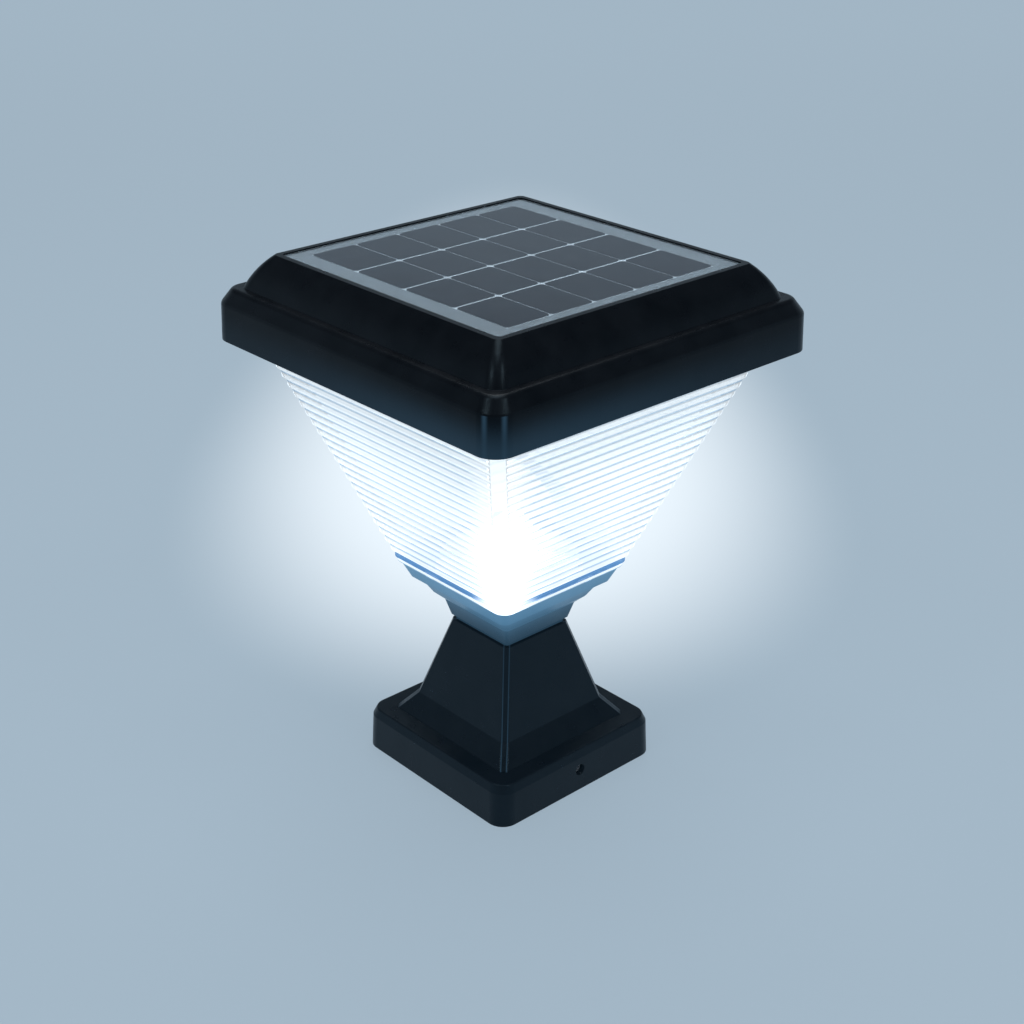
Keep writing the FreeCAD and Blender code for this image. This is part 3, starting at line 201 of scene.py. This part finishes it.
def xyz(tree, vector=None):
    """The three coordinates of a vector, or of the place on the object."""
    if vector is None:
        vector = place(tree)
    split = add(tree, "ShaderNodeSeparateXYZ")
    tree.links.new(vector, split.inputs["Vector"])
    return split.outputs["X"], split.outputs["Y"], split.outputs["Z"]


def noise(tree, scale, detail=3.0):
    """An uneven pattern; its scale is in patches per metre."""
    node = add(tree, "ShaderNodeTexNoise")
    node.inputs["Scale"].default_value = scale
    node.inputs["Detail"].default_value = detail
    tree.links.new(place(tree), node.inputs["Vector"])
    return node.outputs["Fac"]


def spread(tree, pattern, low, high):
    """Maps a noise pattern's usual values onto a range."""
    return map_range(tree, pattern, 0.3, 0.7, low, high)


def blend_colours(tree, factor, first, second):
    """From the first colour to the second; either may be another node's output."""
    node = add(tree, "ShaderNodeMix", data_type="RGBA")
    for socket, colour in (("A", first), ("B", second)):
        if isinstance(colour, tuple):
            node.inputs[socket].default_value = (*colour, 1)
        else:
            tree.links.new(colour, node.inputs[socket])
    tree.links.new(factor, node.inputs["Factor"])
    return node.outputs["Result"]


def bump(tree, shader, height, distance, strength, soft_edges=0.0):
    """Raises the surface; soft_edges is the radius that sharp edges catch the light as if they had."""
    node = add(tree, "ShaderNodeBump")
    node.inputs["Distance"].default_value = distance
    node.inputs["Strength"].default_value = strength
    tree.links.new(height, node.inputs["Height"])
    if soft_edges:
        bevel = add(tree, "ShaderNodeBevel", samples=4)
        bevel.inputs["Radius"].default_value = soft_edges
        tree.links.new(bevel.outputs["Normal"], node.inputs["Normal"])
    tree.links.new(node.outputs["Normal"], shader.inputs["Normal"])


def wear(tree, shader, first, second, scale, rough_low, rough_high):
    """Two close colours, and in finer patches a range of roughness, over the surface."""
    finer = scale * 2.3
    colour = blend_colours(tree, spread(tree, noise(tree, scale), 0, 1), first, second)
    tree.links.new(colour, shader.inputs["Base Color"])
    tree.links.new(spread(tree, noise(tree, finer), rough_low, rough_high), shader.inputs["Roughness"])


def mix_shaders(tree, factor, first, second):
    """The first shader where the factor is 0, and the second where it is 1."""
    mix = add(tree, "ShaderNodeMixShader")
    tree.links.new(factor, mix.inputs["Fac"])
    tree.links.new(first, mix.inputs[1])
    tree.links.new(second, mix.inputs[2])
    return mix.outputs["Shader"]


def without_shadow(tree, shown, tint):
    """The shader as shown, but the surface casts no shadow and only tints the light that passes."""
    passing = add(tree, "ShaderNodeBsdfTransparent")
    passing.inputs["Color"].default_value = (*tint, 1)
    path = add(tree, "ShaderNodeLightPath")
    return mix_shaders(tree, path.outputs["Is Shadow Ray"], shown, passing.outputs["BSDF"])


def show(tree, shader):
    """Makes this shader the material's surface."""
    tree.links.new(shader, tree.nodes["Material Output"].inputs["Surface"])


# ---------------------------------------------------------------------------------------------
# Materials
# ---------------------------------------------------------------------------------------------
def black_plastic(name, shine):
    """Satin black plastic, a little blue, with a painted glow of the shade's light and painted highlights;
    shine is the strength of its reflections.
    """
    made, shader, tree = new_material(name)
    wear(tree, shader, (0.0022, 0.0032, 0.005), (0.0045, 0.006, 0.0085), 60, 0.26, 0.36)
    bump(tree, shader, noise(tree, 2600, detail=2.0), 0.1 * MM, 0.4, soft_edges=0.6 * MM)
    # reflections painted blue, for cool light around
    shader.inputs["Specular Tint"].default_value = (0.55, 0.82, 1.0, 1)
    shader.inputs["Specular IOR Level"].default_value = shine
    x, y, height = xyz(tree)
    # the painted glow and highlights are stronger towards the front corner
    to_front = from_to(tree, minus(tree, x, y), 20 * MM, 200 * MM, BACK_SHARE, FRONT_SHARE)
    spill = spilled_light(tree, height, to_front)
    highlights = corner_highlights(tree, off_corner(tree, x, y), height, to_front)
    shader.inputs["Emission Color"].default_value = (*SPILL_BLUE, 1)
    tree.links.new(plus(tree, spill, highlights), shader.inputs["Emission Strength"])
    return made


def spilled_light(tree, height, to_front):
    """A painted glow for the shade's light: over the neck, a little over the foot, and over the lid's lower
    edge at the front.
    """
    neck = times(tree, from_to(tree, height, NECK_COLLAR, SHADE_FOOT, NECK_SPILL_LOW, NECK_SPILL_HIGH),
                 between(tree, height, NECK_COLLAR, ABOVE_NECK))
    foot = times(tree, math_node(tree, "LESS_THAN", height, NECK_COLLAR), FOOT_SPILL)
    lid = times(tree, from_to(tree, height, LID_EDGE, LID_BEVEL, LID_SPILL, 0),
                math_node(tree, "GREATER_THAN", height, ABOVE_NECK), to_front)
    return plus(tree, neck, foot, lid)


def corner_highlights(tree, from_corner, height, to_front):
    """Painted highlights on the pedestal's corner edges and on the rounded corners of the lid's fascia."""
    off_line = off(tree, from_corner, PEDESTAL_LINE)
    line = times(tree, from_to(tree, off_line, LINE_CORE, LINE_REACH, LINE_STRENGTH, 0),
                 between(tree, height, BASE_TOP, NECK_COLLAR))
    off_band = off(tree, from_corner, FASCIA_BAND)
    band = times(tree, from_to(tree, off_band, 0, BAND_REACH, BAND_STRENGTH, 0),
                 from_to(tree, height, LID_EDGE + 4 * MM, LID_BEVEL, 0.2, 1),
                 between(tree, height, LID_EDGE, LID_BEVEL))
    return times(tree, plus(tree, line, band), to_front)


def clear_shade():
    """Clear moulded plastic with a painted glow on its outer face; light from inside leaves it unbent, so
    that the lamp shines out cleanly.
    """
    made, shader, tree = new_material("clear_shade")
    shader.inputs["Base Color"].default_value = (0.9, 0.94, 0.965, 1)
    shader.inputs["Transmission Weight"].default_value = 1.0
    shader.inputs["IOR"].default_value = 1.49
    tree.links.new(spread(tree, noise(tree, 90), 0.02, 0.07), shader.inputs["Roughness"])
    bump(tree, shader, noise(tree, 60, detail=1.0), 0.3 * MM, 0.03)
    glow, share = caught_light(tree)
    outside = minus(tree, 1, add(tree, "ShaderNodeNewGeometry").outputs["Backfacing"])
    lit = mix_shaders(tree, times(tree, outside, share), shader.outputs["BSDF"], glow)
    show(tree, without_shadow(tree, lit, (0.9, 0.93, 0.96)))
    return made


def caught_light(tree):
    """The painted glow in the shade's outer face: painted blue shade in the grooves and at the foot,
    strongest along the corners.

    Returns its shader, and the share of the surface that it takes.
    """
    x, y, z = xyz(tree)
    from_corner = off_corner(tree, x, y)
    front = from_to(tree, minus(tree, x, y), 30 * MM, 100 * MM)
    # the painted blue stops short of the front corner
    on_face = math_node(tree, "MAXIMUM", from_to(tree, from_corner, 6 * MM, 24 * MM), minus(tree, 1, front))
    phase = math_node(tree, "FRACT", times(tree, minus(tree, z, RIB_START), 1 / RIB_PITCH))
    groove = times(tree, on_face,
                   from_to(tree, off(tree, phase, GROOVE_MIDDLE), GROOVE_CORE, GROOVE_REACH, 1, 0))
    foot = times(tree, between(tree, z, SHADE_FOOT + 1.3 * MM, RIB_START + 0.3 * MM), on_face)
    # painted glow along the corners, fading upwards and strongest at the front corner
    corner = times(tree, from_to(tree, from_corner, 0, CORNER_REACH, CORNER_GLOW, 0),
                   from_to(tree, z, SHADE_FOOT, CORNER_FADE, 1, 0.1),
                   map_range(tree, front, 0, 1, 0.15, 1))
    ribs = blend_colours(tree, groove, COOL_WHITE, PAINTED_GROOVE_BLUE)
    glow = add(tree, "ShaderNodeEmission")
    tree.links.new(blend_colours(tree, foot, ribs, PAINTED_FOOT_BLUE), glow.inputs["Color"])
    face = from_to(tree, z, FACE_FADE, SHADE_TOP, FACE_LOW, FACE_HIGH)
    tree.links.new(plus(tree, face, corner), glow.inputs["Strength"])
    return glow.outputs["Emission"], plus(tree, times(tree, foot, FOOT_EXTRA_SHARE), RIB_SHARE)


def face_sheet():
    """The clear sheet over the solar cells, satin."""
    made, shader, tree = new_material("panel_face_sheet")
    shader.inputs["Base Color"].default_value = (0.95, 0.97, 1.0, 1)
    shader.inputs["Transmission Weight"].default_value = 1.0
    shader.inputs["IOR"].default_value = 1.28
    tree.links.new(spread(tree, noise(tree, 70), 0.04, 0.09), shader.inputs["Roughness"])
    show(tree, without_shadow(tree, shader.outputs["BSDF"], (1, 1, 1)))
    return made


def plain(name, first, second, rough_low, rough_high, metallic=0.0, scale=120):
    """A moulded, turned or painted finish: two close colours and uneven roughness."""
    made, shader, tree = new_material(name)
    wear(tree, shader, first, second, scale, rough_low, rough_high)
    shader.inputs["Metallic"].default_value = metallic
    return made


def glowing(name, strength):
    """A lamp's cool white face, a little uneven in colour."""
    made, shader, tree = new_material(name)
    deeper = tuple(0.94 * part for part in COOL_WHITE)
    tree.links.new(blend_colours(tree, noise(tree, 200), COOL_WHITE, deeper), shader.inputs["Base Color"])
    shader.inputs["Roughness"].default_value = 0.4
    shader.inputs["Emission Color"].default_value = (*COOL_WHITE, 1)
    shader.inputs["Emission Strength"].default_value = strength
    return made


def backsheet():
    """Grey-blue margin, and paler metal ribbons in the gaps between the cells."""
    made, shader, tree = new_material("solar_backsheet")
    x, y = xyz(tree)[:2]
    half_x = reach("solar_cells", 0)[1] + 0.25 * MM
    half_y = reach("solar_cells", 1)[1] + 0.1 * MM
    among_cells = times(tree, between(tree, x, -half_x, half_x), between(tree, y, -half_y, half_y))
    margin = blend_colours(tree, noise(tree, 80), (0.047, 0.073, 0.09), (0.056, 0.086, 0.104))
    colour = blend_colours(tree, among_cells, margin, (0.32, 0.4, 0.45))
    tree.links.new(colour, shader.inputs["Base Color"])
    tree.links.new(spread(tree, noise(tree, 190), 0.5, 0.6), shader.inputs["Roughness"])
    return made


def lit_reflector():
    """White plastic with a painted glow for the LEDs' light on it, blazing at its tip and fading out to its
    rim.
    """
    made, shader, tree = new_material("reflector_lit")
    wear(tree, shader, (0.8, 0.82, 0.84), (0.88, 0.9, 0.92), 150, 0.25, 0.35)
    tip, rim = 4 * MM, reach("reflector_cone", 0)[1]
    x, y = xyz(tree)[:2]
    shader.inputs["Emission Color"].default_value = (*COOL_WHITE, 1)
    tree.links.new(from_to(tree, length(tree, x, y), tip, rim, 4.0, 0.4), shader.inputs["Emission Strength"])
    return made


def paint():
    """Gives every CAD node its finish."""
    steel = plain("screw_steel", (0.42, 0.43, 0.45), (0.6, 0.6, 0.62), 0.25, 0.45, metallic=1.0, scale=900)
    brass = plain("brass", (0.55, 0.38, 0.14), (0.7, 0.5, 0.22), 0.25, 0.4, metallic=1.0, scale=700)
    white = plain("white_plastic", (0.74, 0.76, 0.78), (0.8, 0.82, 0.84), 0.3, 0.42, scale=150)
    part_black = plain("component_black", (0.012, 0.012, 0.013), (0.03, 0.03, 0.032), 0.35, 0.55, scale=500)
    cell = plain("solar_cell", (0.009, 0.016, 0.031), (0.014, 0.024, 0.042), 0.3, 0.4, scale=60)
    board = plain("circuit_board", (0.01, 0.08, 0.03), (0.02, 0.12, 0.05), 0.3, 0.45, scale=400)
    screws = [name for name in NODES if "screw" in name and name != "set_screw_nuts"]
    finish = {
        black_plastic("black_plastic_foot", shine=0.22): ("base_cap", "pedestal", "neck"),
        black_plastic("black_plastic_lid", shine=0.12): ("top_cover",),
        clear_shade(): ("shade",),
        face_sheet(): ("panel_face_sheet",),
        cell: ("solar_cells",),
        backsheet(): ("panel_backsheet",),
        plain("adhesive", (0.5, 0.5, 0.5), (0.6, 0.6, 0.6), 0.5, 0.7): ("panel_adhesive",),
        white: ("under_tray",),
        lit_reflector(): ("reflector_cone",),
        glowing("diffuser_lit", strength=1.3): ("led_diffuser",),
        glowing("led_lit", strength=4.0): ("led_chips",),
        plain("led_board_white", (0.7, 0.7, 0.7), (0.8, 0.8, 0.8), 0.3, 0.4): ("led_board",),
        plain("seal_rubber", (0.02, 0.02, 0.022), (0.04, 0.04, 0.042), 0.6, 0.8): ("lid_seal",),
        plain("battery_wrap", (0.02, 0.07, 0.25), (0.03, 0.1, 0.32), 0.25, 0.35): ("battery_cell",),
        board: ("control_board",),
        plain("button_rubber", (0.015, 0.015, 0.017), (0.03, 0.03, 0.033), 0.55, 0.7): ("power_button",),
        part_black: ("battery_holder", "board_components", "switch_body"),
        brass: ("set_screw_nuts",),
        steel: (*screws, "battery_contacts", "switch_bezel"),
    }
    for made, names in finish.items():
        for name in names:
            materials = NODES[name].data.materials
            materials.clear()
            materials.append(made)


# ---------------------------------------------------------------------------------------------
# Stage, lights and camera
# ---------------------------------------------------------------------------------------------
def seen_directly(tree):
    """1 for rays from the camera and those that glossy and clear surfaces send on."""
    path = add(tree, "ShaderNodeLightPath")
    either = math_node(tree, "MAXIMUM", path.outputs["Is Camera Ray"], path.outputs["Is Glossy Ray"])
    return math_node(tree, "MAXIMUM", either, path.outputs["Is Transmission Ray"])


def floor():
    """Pale paper that keeps the shadow, with a soft painted pool of light behind the object."""
    half = 8.0
    mesh = bpy.data.meshes.new("floor")
    corners = [(-half, -half, 0), (half, -half, 0), (half, half, 0), (-half, half, 0)]
    mesh.from_pydata(corners, [], [(0, 1, 2, 3)])
    plane = bpy.data.objects.new("floor", mesh)
    bpy.context.scene.collection.objects.link(plane)
    mesh.materials.append(floor_paper())


def floor_paper():
    """Paper in the background's colour, painted paler far back; most of what is seen of it is its own glow,
    with a painted pool of light.
    """
    made, shader, tree = new_material("floor_paper")
    shader.inputs["Base Color"].default_value = (*BACKGROUND, 1)
    shader.inputs["Roughness"].default_value = 0.9
    shader.inputs["Specular IOR Level"].default_value = 0.0
    turn = add(tree, "ShaderNodeMapping", vector_type="TEXTURE")
    turn.inputs["Rotation"].default_value = (0, 0, CAMERA_AZIMUTH)
    tree.links.new(place(tree), turn.inputs["Vector"])
    sideways, away = xyz(tree, turn.outputs["Vector"])[:2]
    # the floor's colour, painted paler far back
    paper = blend_colours(tree, from_to(tree, away, PAPER_FADE_START, PAPER_FADE_END), BACKGROUND, PAPER_FAR_PAINTED_PALER)
    shine = add(tree, "ShaderNodeEmission")
    tree.links.new(blend_colours(tree, pool(tree, sideways, away), paper, POOL_COLOUR), shine.inputs["Color"])
    glow = times(tree, seen_directly(tree), PAPER_GLOW)
    show(tree, mix_shaders(tree, glow, shader.outputs["BSDF"], shine.outputs["Emission"]))
    return made


def pool(tree, sideways, away):
    """1 in the middle of the painted pool of light and 0 outside it; its far half is the longer one."""
    across = math_node(tree, "DIVIDE", sideways, POOL_HALF_WIDTH)
    beyond_line = math_node(tree, "MAXIMUM", plus(tree, away, POOL_LINE), 0.01)
    ratio = math_node(tree, "DIVIDE", beyond_line, POOL_MIDDLE)
    along = math_node(tree, "DIVIDE", math_node(tree, "LOGARITHM", ratio, math.e), POOL_LOG_DEPTH)
    return from_to(tree, length(tree, across, along), POOL_CORE, 1, 1, 0)


def world():
    """Even soft light, and a backdrop that is pale at the sides and darker overhead."""
    made = bpy.data.worlds.new("studio")
    bpy.context.scene.world = made
    made.use_nodes = True
    tree = made.node_tree
    rise = xyz(tree, add(tree, "ShaderNodeTexCoord").outputs["Generated"])[2]
    shown = tree.nodes["Background"]
    darker = from_to(tree, rise, BACKDROP_PALE, BACKDROP_DARK)
    tree.links.new(blend_colours(tree, darker, BACKGROUND, CEILING), shown.inputs["Color"])
    lighting = add(tree, "ShaderNodeBackground")
    lighting.inputs["Color"].default_value = (0.92, 0.96, 1.0, 1)
    lighting.inputs["Strength"].default_value = 0.45
    mixed = mix_shaders(tree, seen_directly(tree),
                        lighting.outputs["Background"], shown.outputs["Background"])
    tree.links.new(mixed, tree.nodes["World Output"].inputs["Surface"])


def area_light(name, spot, size, power):
    """A square white light that faces the object."""
    lamp = bpy.data.lights.new(name, "AREA")
    lamp.shape = "SQUARE"
    lamp.size = size
    lamp.energy = power
    holder = bpy.data.objects.new(name, lamp)
    holder.location = spot
    holder.rotation_euler = (LIGHTS_AIM - Vector(spot)).to_track_quat("-Z", "Y").to_euler()
    bpy.context.scene.collection.objects.link(holder)


def camera():
    """The photograph's camera, with its small roll and shift."""
    across, along = math.sin(CAMERA_AZIMUTH), math.cos(CAMERA_AZIMUTH)
    flat = math.cos(CAMERA_ELEVATION)
    back = Vector((across * flat, -along * flat, math.sin(CAMERA_ELEVATION)))
    level = Vector((along, across, 0))
    upright = back.cross(level)
    right = math.cos(CAMERA_ROLL) * level + math.sin(CAMERA_ROLL) * upright
    up = math.cos(CAMERA_ROLL) * upright - math.sin(CAMERA_ROLL) * level
    lens = bpy.data.cameras.new("camera")
    lens.sensor_fit = "HORIZONTAL"
    lens.sensor_width = SENSOR
    lens.lens = FOCAL_PIXELS / PICTURE_PIXELS * SENSOR
    lens.clip_start = 0.01
    lens.clip_end = 50
    viewer = bpy.data.objects.new("camera", lens)
    spot = CAMERA_AIM + CAMERA_DISTANCE * back + CAMERA_SHIFT_RIGHT * right + CAMERA_SHIFT_UP * up
    turned = Matrix((right, up, back)).transposed().to_4x4()
    turned.translation = spot
    viewer.matrix_world = turned
    bpy.context.scene.collection.objects.link(viewer)
    bpy.context.scene.camera = viewer


def stage():
    """Everything around the object."""
    floor()
    world()
    area_light("top", (0, 0, 2.0), size=1.0, power=14)
    area_light("front_left", (-0.04, -1.1, 1.35), size=0.25, power=3)
    area_light("front_right", (1.08, 0.15, 1.35), size=0.25, power=3)
    area_light("back", (-0.7, 0.65, 1.6), size=0.6, power=5)
    camera()
    bpy.context.scene.view_settings.view_transform = "Standard"


paint()
stage()
